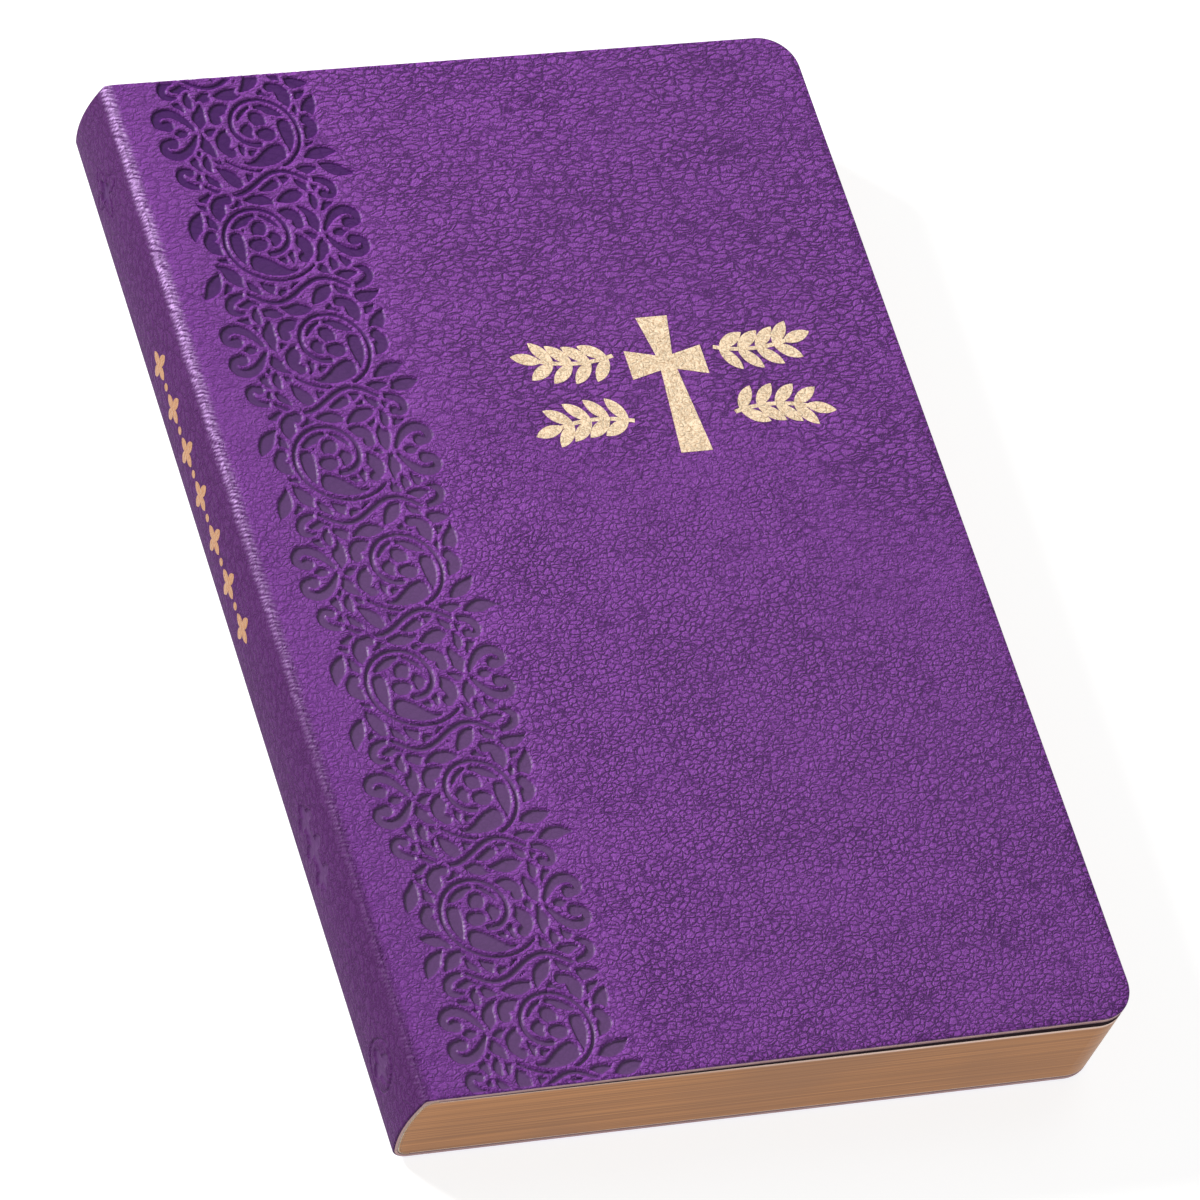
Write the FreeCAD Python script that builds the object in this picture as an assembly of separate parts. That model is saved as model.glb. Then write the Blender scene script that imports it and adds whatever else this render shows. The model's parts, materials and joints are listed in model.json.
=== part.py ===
import FreeCAD, Part
import math
import os

# A soft-covered bible: one wrap-round imitation leather sheet, cut flush with a block of sixteen
# sewn sections.  Millimetres.  Origin at the middle of the footprint, on the back cover's face.
# +X runs from the spine to the fore-edge, +Y from tail to head, +Z from back cover to front.

# Overall size of the closed book, with the front cover pressed down
book_height = 210.0
book_width = 137.0
book_thickness = 20.0
fore_corner_radius = 7.0        # head and tail corners of the fore-edge, cover and leaves alike

# Cross-section of the spine: one wide arc with a small arc at each shoulder
spine_round_radius = 30.0
shoulder_radius = 3.6

# Layers from the outside in, on the front and on the back
cover_sheet = 0.8
lining_card = 0.3
endpaper = 0.15

# Layers behind the spine, and the slip between the glue and the backs of the sections
spine_paper_sheet = 0.15
mull_cloth = 0.15
spine_slip = 0.05

# The leaves
section_count = 16
flyleaf_setback = 0.1           # from the fold to the inner edge of each flyleaf

# Sewing: long stitches with a short kettle stitch past each end of the row
thread_diameter = 0.3
thread_clearance = 0.04
stitch_count = 6
stitch_share = 0.6              # part of each stitch's pitch that lies outside the fold
sewing_margin = 16.0            # from head or tail to the row of long stitches
kettle_offset = 6.0             # from head or tail to the kettle stitch
kettle_length = 3.0

# How the closed front cover stands off the leaves
front_lift_deg = 0.6

# Foil: how deep it is pressed in, and how thick it is
foil_depth = 0.10
foil_thickness = 0.05

# Front emblem: a Latin cross between four leafy sprigs, centred on the plain field
border_edge = 44.5              # from the spine to the plain field, which ends at the fore-edge
emblem_drop = 73.0              # from the head to the emblem's centre
cross_height = 29.0
cross_width = 15.0
cross_arm = 3.2
cross_flare = 1.5               # extra half-width at the end of each arm
crossing_share = 0.66           # height of the crossing as a part of the cross's height
sprig_gap = 2.4                 # across, from the cross to the foot of a sprig
sprig_rise = 7.0                # up or down, from the emblem's centre to the foot of a sprig
sprig_bend_radius = 26.0
stem_width = 0.8
leaf_pairs = 4
leaf_pitch = 3.6                # along the stem, from one pair of leaves to the next
first_leaf_share = 0.3          # part of a pitch from the stem's foot to the first pair
leaf_length = 6.0
leaf_width = 2.4
leaf_angle_deg = 42.0           # between a leaf and the stem

# Spine ornament: a row of four-leaved flowers with a bead between each two
ornament_drop = 81.4            # from the head to the row's centre
flower_count = 7
flower_pitch = 9.2
petal_length = 3.1
petal_width = 1.9
bead_radius = 0.75

# Worked out from the sizes above
half_height = book_height / 2
half_width = book_width / 2
middle_z = book_thickness / 2
endpaper_stack = lining_card + 2 * endpaper
spine_glue_layer = endpaper_stack - spine_paper_sheet - mull_cloth - spine_slip
block_inset = cover_sheet + endpaper_stack
section_thickness = (book_thickness - 2 * block_inset) / section_count
round_centre_x = spine_round_radius - half_width
shoulder_reach = math.sqrt(
    (spine_round_radius - shoulder_radius) ** 2 - (middle_z - shoulder_radius) ** 2
)
fold_x = round_centre_x - shoulder_reach
field_middle_x = (border_edge + book_width) / 2 - half_width

MARGIN = 1.0                    # how far a cutting shape reaches past what it cuts
UP = FreeCAD.Vector(0, 0, 1)
OPENING_AXIS = FreeCAD.Vector(0, -1, 0)


def vector(x, y, z):
    return FreeCAD.Vector(x, y, z)


def box(x0, x1, y0, y1, z0, z1):
    return Part.makeBox(x1 - x0, y1 - y0, z1 - z0, vector(x0, y0, z0))


def plan_prism():
    """The flush-cut outline seen from above, with the two fore-edge corners rounded."""
    slab = box(-half_width - MARGIN, half_width, -half_height, half_height,
               -MARGIN, book_thickness + MARGIN)
    corners = []
    for edge in slab.Edges:
        runs_up = edge.BoundBox.ZLength > book_thickness
        if runs_up and edge.BoundBox.XMin > 0:
            corners.append(edge)
    return slab.makeFillet(fore_corner_radius, corners)


def shoulder_point(inset, angle, side):
    """A point on a shoulder arc; side is 1 at the front shoulder and -1 at the back one."""
    r = shoulder_radius - inset
    x = fold_x + r * math.cos(angle)
    z = middle_z + side * (middle_z - shoulder_radius + r * math.sin(angle))
    return vector(x, -half_height, z)


def spine_solid(inset, reach_x):
    """Everything inside the spine's curve, moved in by inset and ended flat at reach_x."""
    wide = spine_round_radius - inset
    meet = math.atan2(middle_z - shoulder_radius, fold_x - round_centre_x)
    top_flat = shoulder_point(inset, math.pi / 2, 1)
    top_mid = shoulder_point(inset, (math.pi / 2 + meet) / 2, 1)
    top_meet = shoulder_point(inset, meet, 1)
    back = vector(round_centre_x - wide, -half_height, middle_z)
    low_meet = shoulder_point(inset, meet, -1)
    low_mid = shoulder_point(inset, (math.pi / 2 + meet) / 2, -1)
    low_flat = shoulder_point(inset, math.pi / 2, -1)
    low_end = vector(reach_x, -half_height, low_flat.z)
    top_end = vector(reach_x, -half_height, top_flat.z)
    edges = [
        Part.Arc(top_flat, top_mid, top_meet).toShape(),
        Part.Arc(top_meet, back, low_meet).toShape(),
        Part.Arc(low_meet, low_mid, low_flat).toShape(),
        Part.LineSegment(low_flat, low_end).toShape(),
        Part.LineSegment(low_end, top_end).toShape(),
        Part.LineSegment(top_end, top_flat).toShape(),
    ]
    face = Part.Face(Part.Wire(edges))
    return face.extrude(vector(0, book_height, 0))


def spine_layer(outer, inner):
    """One sheet bent round the spine, from the front fold to the back fold."""
    skin = spine_solid(outer, fold_x + MARGIN).cut(spine_solid(inner, fold_x + 2 * MARGIN))
    kept = box(-half_width - MARGIN, fold_x, -half_height, half_height,
               -MARGIN, book_thickness + MARGIN)
    return skin.common(kept)


def flat_layer(start_x, low_z, high_z):
    """One flat sheet with the flush-cut outline, from start_x to the fore-edge."""
    slab = box(start_x, half_width, -half_height, half_height, low_z, high_z)
    return slab.common(plan_prism())


def lifted(shape):
    """A front cover piece turned up about the front fold to where the closed cover stands."""
    copy = shape.copy()
    copy.rotate(vector(fold_x, 0, book_thickness), OPENING_AXIS, front_lift_deg)
    return copy


def one_solid(shape):
    """The only solid in a result, so that no compound is written round it."""
    merged = shape.removeSplitter()
    if len(merged.Solids) != 1:
        raise ValueError("expected one solid, found " + str(len(merged.Solids)))
    return merged.Solids[0]


def export(name, shape):
    shape.exportStep("parts/" + name + ".step")


def back_x(inset, z):
    """Where the spine's curve, moved in by inset, stands at height z."""
    rise = abs(z - middle_z)
    meet_rise = (middle_z - shoulder_radius) / (spine_round_radius - shoulder_radius)
    if rise <= meet_rise * (spine_round_radius - inset):
        return round_centre_x - math.sqrt((spine_round_radius - inset) ** 2 - rise ** 2)
    climb = rise - (middle_z - shoulder_radius)
    return fold_x - math.sqrt(max(0.0, (shoulder_radius - inset) ** 2 - climb ** 2))


def stitch_spans():
    """Start and end of each stitch along the back of a fold, from tail to head."""
    row = book_height - 2 * sewing_margin
    pitch = row / stitch_count
    spans = []
    for i in range(stitch_count):
        middle = -row / 2 + (i + 0.5) * pitch
        spans.append((middle - stitch_share * pitch / 2, middle + stitch_share * pitch / 2))
    kettle = half_height - kettle_offset
    spans.insert(0, (-kettle, -kettle + kettle_length))
    spans.append((kettle - kettle_length, kettle))
    return spans


def section_and_thread(index):
    """Section number index, counted from the front, with the stitches laid in its back."""
    high = book_thickness - block_inset - (index - 1) * section_thickness
    low = high - section_thickness
    slab = box(-half_width, half_width, -half_height, half_height, low, high)
    leaves = spine_solid(block_inset, half_width).common(plan_prism()).common(slab)
    middle = (low + high) / 2
    half_slot = thread_diameter / 2 + thread_clearance
    surface = max(back_x(block_inset, middle - half_slot), back_x(block_inset, middle + half_slot))
    floor = surface + thread_diameter + thread_clearance
    stitches = []
    for start, end in stitch_spans():
        slot = box(-half_width, floor, start - thread_clearance, end + thread_clearance,
                   middle - half_slot, middle + half_slot)
        leaves = leaves.cut(slot)
        foot = vector(floor - thread_diameter / 2, start, middle)
        stitches.append(Part.makeCylinder(thread_diameter / 2, end - start, foot, vector(0, 1, 0)))
    return one_solid(leaves), Part.makeCompound(stitches)


def polygon_prism(points, low_z, high_z):
    closed = [vector(x, y, low_z) for x, y in points]
    closed.append(closed[0])
    face = Part.Face(Part.makePolygon(closed))
    return face.extrude(vector(0, 0, high_z - low_z))


def cross_prism(low_z, high_z):
    """A Latin cross whose arms widen towards their ends."""
    a = cross_arm / 2
    f = a + cross_flare
    top = cross_height * (1 - crossing_share)
    foot = -cross_height * crossing_share
    side = cross_width / 2
    points = [(-a, a), (-f, top), (f, top), (a, a), (side, f), (side, -f), (a, -a),
              (f, foot), (-f, foot), (-a, -a), (-side, -f), (-side, f)]
    return polygon_prism(points, low_z, high_z)


def leaf_prism(length, width, low_z, high_z):
    """A pointed leaf between two arcs, from the origin along +X."""
    foot = vector(0, 0, low_z)
    tip = vector(length, 0, low_z)
    upper = Part.Arc(foot, vector(length / 2, width / 2, low_z), tip).toShape()
    lower = Part.Arc(tip, vector(length / 2, -width / 2, low_z), foot).toShape()
    return Part.Face(Part.Wire([upper, lower])).extrude(vector(0, 0, high_z - low_z))


def sprig_prism(low_z, high_z):
    """A bent stem with pairs of leaves and one at its tip, from the origin towards +X."""
    stem_length = leaf_pairs * leaf_pitch
    turn = stem_length / sprig_bend_radius
    start = -turn / 2

    def stem_point(angle, offset):
        r = sprig_bend_radius - offset
        x = r * math.sin(angle) - sprig_bend_radius * math.sin(start)
        y = sprig_bend_radius * math.cos(start) - r * math.cos(angle)
        return vector(x, y, low_z)

    half = stem_width / 2
    corners = [stem_point(start, half), stem_point(-start, half),
               stem_point(-start, -half), stem_point(start, -half)]
    outline = Part.Wire([
        Part.Arc(corners[0], stem_point(0, half), corners[1]).toShape(),
        Part.LineSegment(corners[1], corners[2]).toShape(),
        Part.Arc(corners[2], stem_point(0, -half), corners[3]).toShape(),
        Part.LineSegment(corners[3], corners[0]).toShape(),
    ])
    stem = Part.Face(outline).extrude(vector(0, 0, high_z - low_z))
    leaves = []
    for pair in range(leaf_pairs):
        angle = start + (pair + first_leaf_share) * leaf_pitch / sprig_bend_radius
        for side in (-1, 1):
            leaf = leaf_prism(leaf_length, leaf_width, low_z, high_z)
            leaf.rotate(vector(0, 0, 0), UP, math.degrees(angle) + side * leaf_angle_deg)
            leaf.translate(stem_point(angle, 0) - vector(0, 0, low_z))
            leaves.append(leaf)
    last = leaf_prism(leaf_length, leaf_width, low_z, high_z)
    last.rotate(vector(0, 0, 0), UP, math.degrees(-start))
    last.translate(stem_point(-start - half / sprig_bend_radius, 0) - vector(0, 0, low_z))
    leaves.append(last)
    return stem.fuse(leaves)


def emblem_prisms(low_z, high_z):
    """The whole front emblem as separate prisms, set at its place on the cover."""
    cross = cross_prism(low_z, high_z)
    cross.translate(vector(0, cross_height * (crossing_share - 0.5), 0))
    upper = sprig_prism(low_z, high_z)
    upper.translate(vector(cross_width / 2 + sprig_gap, sprig_rise, 0))
    lower = upper.mirror(vector(0, 0, 0), vector(0, 1, 0))
    pieces = [cross, upper, lower]
    for sprig in (upper, lower):
        pieces.append(sprig.mirror(vector(0, 0, 0), vector(1, 0, 0)))
    for shape in pieces:
        shape.translate(vector(field_middle_x, half_height - emblem_drop, 0))
    return pieces


def ornament_prisms():
    """The spine's row of flowers and beads, as prisms along X that reach through the spine."""
    reach = MARGIN + shoulder_radius
    start_x = -half_width - MARGIN
    row_y = half_height - ornament_drop
    pieces = []
    for i in range(flower_count):
        petals = []
        for quarter in range(4):
            petal = leaf_prism(petal_length, petal_width, 0, reach)
            petal.rotate(vector(0, 0, 0), UP, 90 * quarter)
            petals.append(petal)
        bead = Part.makeCylinder(bead_radius, reach)
        flower = bead.fuse(petals)
        flower.rotate(vector(0, 0, 0), vector(0, 1, 0), 90)
        y = row_y + (i - (flower_count - 1) / 2) * flower_pitch
        flower.translate(vector(start_x, y, middle_z))
        pieces.append(flower)
    for i in range(flower_count - 1):
        y = row_y + (i - (flower_count - 2) / 2) * flower_pitch
        foot = vector(start_x, y, middle_z)
        pieces.append(Part.makeCylinder(bead_radius, reach, foot, vector(1, 0, 0)))
    return pieces


def press_in(leather, prisms, cut_body, foil_body):
    """Stamps foil into a leather shape: the leather with its recesses, and the foil pieces."""
    foils = []
    for prism in prisms:
        leather = leather.cut(prism.common(cut_body))
        foils.extend(prism.common(foil_body).Solids)
    return leather, Part.makeCompound(foils)


def cover_pieces(is_front):
    """Leather sheet, lining card and pastedown of one cover, as flat solids."""
    pieces = []
    depth = 0.0
    for thickness in (cover_sheet, lining_card, endpaper):
        if is_front:
            low = book_thickness - depth - thickness
            high = book_thickness - depth
        else:
            low = depth
            high = depth + thickness
        pieces.append(flat_layer(fold_x, low, high))
        depth += thickness
    return pieces


os.makedirs("parts", exist_ok=True)

# Front cover: leather with the emblem stamped in, card and pastedown, all lifted as one
leather, card, pastedown = cover_pieces(True)
foil_top = book_thickness - foil_depth + foil_thickness
foil_low = book_thickness - foil_depth
recess = flat_layer(fold_x, foil_low, book_thickness)
foil_sheet = flat_layer(fold_x, foil_low, foil_top)
leather, emblem = press_in(leather, emblem_prisms(foil_low, book_thickness), recess, foil_sheet)
export("front_cover", lifted(one_solid(leather)))
export("front_lining_card", lifted(one_solid(card)))
export("front_pastedown", lifted(one_solid(pastedown)))
export("front_emblem_foil", lifted(emblem))

# Spine: the same sheet carried round, with the row of ornaments stamped in, and what lines it
spine_leather = spine_layer(0, cover_sheet)
spine_recess = spine_layer(0, foil_depth)
spine_foil_sheet = spine_layer(foil_depth - foil_thickness, foil_depth)
spine_leather, ornaments = press_in(spine_leather, ornament_prisms(), spine_recess, spine_foil_sheet)
export("spine_cover", one_solid(spine_leather))
export("spine_ornament_foil", ornaments)
depth = cover_sheet
for name, thickness in (("spine_paper_lining", spine_paper_sheet),
                        ("spine_mull", mull_cloth),
                        ("spine_glue", spine_glue_layer)):
    export(name, one_solid(spine_layer(depth, depth + thickness)))
    depth += thickness

# Back cover: the same three sheets, lying flat
back_leather, back_card, back_pastedown = cover_pieces(False)
export("back_cover", one_solid(back_leather))
export("back_lining_card", one_solid(back_card))
export("back_pastedown", one_solid(back_pastedown))

# Flyleaves: one tipped on to each end of the block
fly_low = cover_sheet + lining_card + endpaper
fly_x = fold_x + flyleaf_setback
export("back_flyleaf", one_solid(flat_layer(fly_x, fly_low, fly_low + endpaper)))
fly_high = book_thickness - fly_low
export("front_flyleaf", one_solid(flat_layer(fly_x, fly_high - endpaper, fly_high)))

# Sections, numbered from the front, each with the thread that sews it
for index in range(1, section_count + 1):
    leaves, stitches = section_and_thread(index)
    export("section_{:02d}".format(index), leaves)
    export("thread_{:02d}".format(index), stitches)

print("fold at x", round(fold_x, 3), "section thickness", round(section_thickness, 4))
print("spine glue layer", round(spine_glue_layer, 3))
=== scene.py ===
import json
import math

import bmesh
import bpy
import numpy as np
from mathutils import Matrix, Vector
from mathutils.geometry import delaunay_2d_cdt


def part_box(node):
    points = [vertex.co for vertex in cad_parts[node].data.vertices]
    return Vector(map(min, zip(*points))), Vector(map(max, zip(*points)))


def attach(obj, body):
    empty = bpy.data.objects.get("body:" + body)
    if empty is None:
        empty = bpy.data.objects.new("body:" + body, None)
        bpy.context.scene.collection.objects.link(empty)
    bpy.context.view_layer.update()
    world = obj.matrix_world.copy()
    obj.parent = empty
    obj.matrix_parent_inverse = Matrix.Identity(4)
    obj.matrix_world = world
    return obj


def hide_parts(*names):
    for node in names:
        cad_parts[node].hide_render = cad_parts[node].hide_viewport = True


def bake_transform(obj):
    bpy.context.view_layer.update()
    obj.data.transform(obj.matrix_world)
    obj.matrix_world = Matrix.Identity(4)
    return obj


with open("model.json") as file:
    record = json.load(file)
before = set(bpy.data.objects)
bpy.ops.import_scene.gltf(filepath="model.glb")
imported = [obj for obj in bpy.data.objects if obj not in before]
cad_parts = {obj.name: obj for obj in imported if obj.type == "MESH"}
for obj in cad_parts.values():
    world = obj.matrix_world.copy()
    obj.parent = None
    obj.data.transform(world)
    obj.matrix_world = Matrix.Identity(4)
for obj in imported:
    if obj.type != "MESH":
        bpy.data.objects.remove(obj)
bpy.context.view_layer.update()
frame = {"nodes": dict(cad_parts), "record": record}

MM = 0.001
hinge_at = {j["name"]: Vector(j["pos_m"]) for j in frame["record"]["behaviour"]["joints"]}

# ---------------------------------------------------------------------------------------------
# Leaves.  Sixteen sewn sections of thin bible paper, trimmed flush with the cover on three
# sides and gilt on the cut edges, so each leaf shows as a fine line.  The folds at the back
# stay bare paper.


class Wire:
    """One output in a material's tree; arithmetic on wires adds the Math nodes for it."""

    def __init__(self, tree, socket=None):
        self.tree = tree
        self.socket = socket

    def node(self, kind, settings=None, sockets=None, output=0):
        made = self.tree.nodes.new(kind)
        for name, value in (settings or {}).items():
            if name == "stops":
                ramp = made.color_ramp.elements
                while len(ramp) < len(value):
                    ramp.new(0.5)
                for stop, (place, colour) in zip(ramp, value):
                    stop.position = place
                    stop.color = (*colour, 1.0)
            else:
                setattr(made, name, value)
        for name, value in (sockets or {}).items():
            if isinstance(value, Wire):
                self.tree.links.new(value.socket, made.inputs[name])
            else:
                made.inputs[name].default_value = value
        return Wire(self.tree, made.outputs[output])

    def maths(self, operation, *values):
        return self.node("ShaderNodeMath", {"operation": operation}, dict(enumerate(values)))

    def __add__(self, other):
        return self.maths("ADD", self, other)

    __radd__ = __add__

    def __sub__(self, other):
        return self.maths("SUBTRACT", self, other)

    def __rsub__(self, other):
        return self.maths("SUBTRACT", other, self)

    def __mul__(self, other):
        return self.maths("MULTIPLY", self, other)

    __rmul__ = __mul__

    def __truediv__(self, other):
        return self.maths("DIVIDE", self, other)

    def ramp(self, low, high, start=0.0, end=1.0):
        """A smooth step from start to end while this wire goes from low to high."""
        return self.node("ShaderNodeMapRange", {"interpolation_type": "SMOOTHSTEP"},
                         {"Value": self, "From Min": low, "From Max": high,
                          "To Min": start, "To Max": end})

    def __abs__(self):
        return self.maths("ABSOLUTE", self)

    def axis(self, k):
        """One number of this vector: 0 for x, 1 for y, 2 for z."""
        return self.node("ShaderNodeSeparateXYZ", {}, {0: self}, k)

    def stops(self, *stops):
        """A colour for each value of this wire, blended between (value, colour) stops."""
        return self.node("ShaderNodeValToRGB", {"stops": stops}, {0: self})

    def vector(self, operation, *values, output=0):
        return self.node("ShaderNodeVectorMath", {"operation": operation},
                         dict(enumerate(values)), output)

    def tint(self, other, share):
        """This colour with a share of another colour."""
        return self.node("ShaderNodeMix", {"data_type": "RGBA"}, {0: share, 6: self, 7: other}, 2)


def finish(name, roughness=0.5, metallic=0.0, **constants):
    """A new material: itself, a wire to build on, its shader, and object coordinates in mm."""
    material = bpy.data.materials.new(name)
    material.use_nodes = True
    tree = material.node_tree
    shader = tree.nodes["Principled BSDF"]
    shader.inputs["Roughness"].default_value = roughness
    shader.inputs["Metallic"].default_value = metallic
    for socket, value in constants.items():
        shader.inputs[socket.replace("_", " ")].default_value = value
    start = Wire(tree)
    place = start.node("ShaderNodeTexCoord", output=3)
    return material, start, shader, place.vector("MULTIPLY", place, (1 / MM,) * 3)


def feed(shader, **wires):
    for socket, wire in wires.items():
        wire.tree.links.new(wire.socket, shader.inputs[socket.replace("_", " ")])


def noise(place, scale, detail=2.0, stretch=(1.0, 1.0, 1.0), output=0):
    """Noise on a place in mm; scale is in cells per mm, and stretch squeezes it per axis."""
    return place.node("ShaderNodeTexNoise", {"noise_dimensions": "3D"},
                      {"Vector": place.vector("MULTIPLY", place, stretch),
                       "Scale": scale, "Detail": detail}, output)


def relief(height, depth_mm, strength=1.0, under=None):
    """A bump of depth_mm from a height between 0 and 1, on top of another bump if given."""
    sockets = {"Height": height, "Distance": depth_mm * MM, "Strength": strength}
    if under is not None:
        sockets["Normal"] = under
    return height.node("ShaderNodeBump", {}, sockets)


def coloured(wire, rgb):
    """A plain colour as a wire, for mixing."""
    return wire.node("ShaderNodeCombineColor", {}, dict(enumerate(rgb)))


leaf_lines, leaf_start, leaf_shader, leaf_mm = finish("gilt_bible_leaves", 0.42)
facing = leaf_start.node("ShaderNodeTexCoord", output=1)
page_face = abs(facing.axis(2)).ramp(0.6, 0.8)
fold_face = (0 - facing.axis(0)).ramp(0.3, 0.5)
broad_lines = noise(leaf_mm, 1.0, 3.0, (0.012, 0.012, 2.2))
fine_lines = noise(leaf_mm, 1.0, 2.0, (0.02, 0.02, 7.5))
blotches = noise(leaf_mm, 0.03, 2.0)
line_mix = broad_lines * 0.55 + fine_lines * 0.45
gilt = line_mix.stops((0.30, (0.240, 0.088, 0.016)), (0.50, (0.395, 0.152, 0.032)),
                      (0.70, (0.590, 0.250, 0.066)))
gilt = gilt.tint(coloured(gilt, (0.27, 0.108, 0.036)), blotches.ramp(0.45, 0.7, 0.0, 0.45))
across = leaf_mm.axis(0)
along = leaf_mm.axis(1)
# Painted highlight: the top of the block's gilt edge is lightened, more so towards the fore edge.
painted_top_highlight = leaf_mm.axis(2).ramp(17.9, 18.35) * across.ramp(-45.0, 30.0, 0.1, 0.85)
gilt = gilt.tint(coloured(gilt, (0.86, 0.64, 0.54)), painted_top_highlight)

# Two columns of grey lines stand for print on the pages; they are no writing.
line_pitch, half_gutter, half_page, half_column = 2.3, 2.0, 52.0, 93.0
from_middle = abs(across + 1.0)
in_column = (from_middle.ramp(half_gutter, half_gutter + 0.1)
             * from_middle.ramp(half_page, half_page + 0.1, 1.0, 0.0))
in_height = abs(along).ramp(half_column, half_column + 0.1, 1.0, 0.0)
row = along / line_pitch
in_row = row.maths("PINGPONG", row, 0.5).ramp(0.22, 0.28)
words = noise(leaf_mm, 0.55, 1.0, (1.0, 0.9, 0.1)).ramp(0.40, 0.44)
print_mask = in_column * in_height * in_row * words * 0.42
paper = coloured(leaf_start, (0.70, 0.672, 0.60))
fibres = noise(leaf_mm, 0.8, 3.0).ramp(0.35, 0.7, 0.0, 0.12)
paper = paper.tint(coloured(paper, (0.58, 0.54, 0.46)), fibres)
printed = paper.tint(coloured(paper, (0.12, 0.12, 0.13)), print_mask)
bare = paper.tint(printed, page_face)
gilt_share = (1 - page_face) * (1 - fold_face)
feed(leaf_shader,
     Base_Color=bare.tint(gilt, gilt_share),
     Roughness=gilt_share.ramp(0.0, 1.0, 0.75, 0.40),
     Metallic=gilt_share * 0.35,
     Normal=relief(line_mix, 0.05, 0.6))
SECTIONS = 16


def dress_node(name, material):
    """Gives a node of the frame its finish."""
    materials = frame["nodes"][name].data.materials
    materials.clear()
    materials.append(material)


for number in range(1, SECTIONS + 1):
    dress_node("section_{:02d}".format(number), leaf_lines)

# ---------------------------------------------------------------------------------------------
# Sewing thread.  Waxed linen, laid in the backs of the folds, with a short kettle stitch at
# each end of every row.

linen, _, linen_shader, linen_mm = finish("waxed_linen_thread", 0.6)
twist = noise(linen_mm, 1.0, 1.0, (4.0, 6.0, 4.0))
linen_tone = twist.stops((0.3, (0.50, 0.46, 0.37)), (0.7, (0.78, 0.74, 0.64)))
feed(linen_shader, Base_Color=linen_tone, Normal=relief(twist, 0.06))
for number in range(1, SECTIONS + 1):
    dress_node("thread_{:02d}".format(number), linen)

# ---------------------------------------------------------------------------------------------
# Endpapers and lining card.  Smooth off-white paper: a flyleaf tipped on to each end of the
# block and a pastedown glued inside each cover, with a thin grey-brown card behind it.

painted_gap_shade = (0.050, 0.012, 0.030)    # painted shade: the dark of the gap under the cover, laid along the paper's trimmed margins and on the pastedown's cut edge
painted_gap_shade_reach = 1.25               # mm
paper_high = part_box("front_flyleaf")[1]
corner_radius = 7.0             # mm, of the two fore corners of every leaf and cover


def paper_finish(name, light, dark, roughness, edge):
    material, start, shader, place = finish(name, roughness)
    cut = abs(start.node("ShaderNodeTexCoord", output=1).axis(2)).ramp(0.6, 0.8, 1.0, 0.0)
    corner_x, corner_y = paper_high.x / MM - corner_radius, paper_high.y / MM - corner_radius
    past_x = start.maths("MAXIMUM", place.axis(0) - corner_x, 0.0)
    past_y = start.maths("MAXIMUM", abs(place.axis(1)) - corner_y, 0.0)
    margin = start.maths("SQRT", past_x * past_x + past_y * past_y) - corner_radius
    margin = margin + noise(place, 0.5, 2.0) * 0.5
    clouds = noise(place, 0.05, 3.0)
    fibre = noise(place, 2.5, 3.0, (1.0, 0.35, 1.0))
    share = clouds * 0.5 + fibre * 0.5
    tone = share.stops((0.35, dark), (0.65, light))
    # Painted shade: the paper is darkened along its trimmed margins, standing in for the shade in the
    # gap under the cover.
    tone = tone.tint(coloured(tone, painted_gap_shade), margin.ramp(-painted_gap_shade_reach - 0.5, -painted_gap_shade_reach, 0.0, 0.94))
    feed(shader, Base_Color=tone.tint(coloured(tone, edge), cut), Normal=relief(fibre, 0.02, 0.5))
    return material


ivory, shaded_ivory = (0.71, 0.68, 0.63), (0.62, 0.585, 0.53)
# The flyleaf's cut edge is a pale painted highlight; the pastedown's cut edge carries the painted gap
# shade.
endpaper = paper_finish("endpaper", ivory, shaded_ivory, 0.7, (0.80, 0.60, 0.50))
pasted = paper_finish("pasted_endpaper", ivory, shaded_ivory, 0.7, painted_gap_shade)
lining_card = paper_finish("lining_card", (0.42, 0.34, 0.27), (0.33, 0.26, 0.20), 0.85,
                           (0.30, 0.17, 0.17))
for side in ("front", "back"):
    for piece, material in (("flyleaf", endpaper), ("pastedown", pasted),
                            ("lining_card", lining_card)):
        dress_node(side + "_" + piece, material)

# ---------------------------------------------------------------------------------------------
# Spine lining.  Flexible glue, open mull and kraft paper behind the leather, all one bent
# sheet here.  It is cut into strips at the middle of each section.

fold = hinge_at["front_cover_turn"]
spine_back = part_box("spine_cover")[0].x
half_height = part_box("back_cover")[1].y
shoulder_radius = 3.6 * MM
round_radius = 30.0 * MM
middle_z = fold.z / 2
sheet_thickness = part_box("back_cover")[1].z
lining_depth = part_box("section_16")[0].z - sheet_thickness - 0.05 * MM
section_middles = [sum(corner.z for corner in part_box("section_{:02d}".format(n))) / 2
                   for n in range(1, SECTIONS + 1)]
lap = 3.0 * MM                  # how far the spine's sheet runs on to each cover
front_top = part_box("front_cover")[1]
lift_deg = math.degrees(math.asin((front_top.z - fold.z) / (front_top.x - fold.x)))


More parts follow.
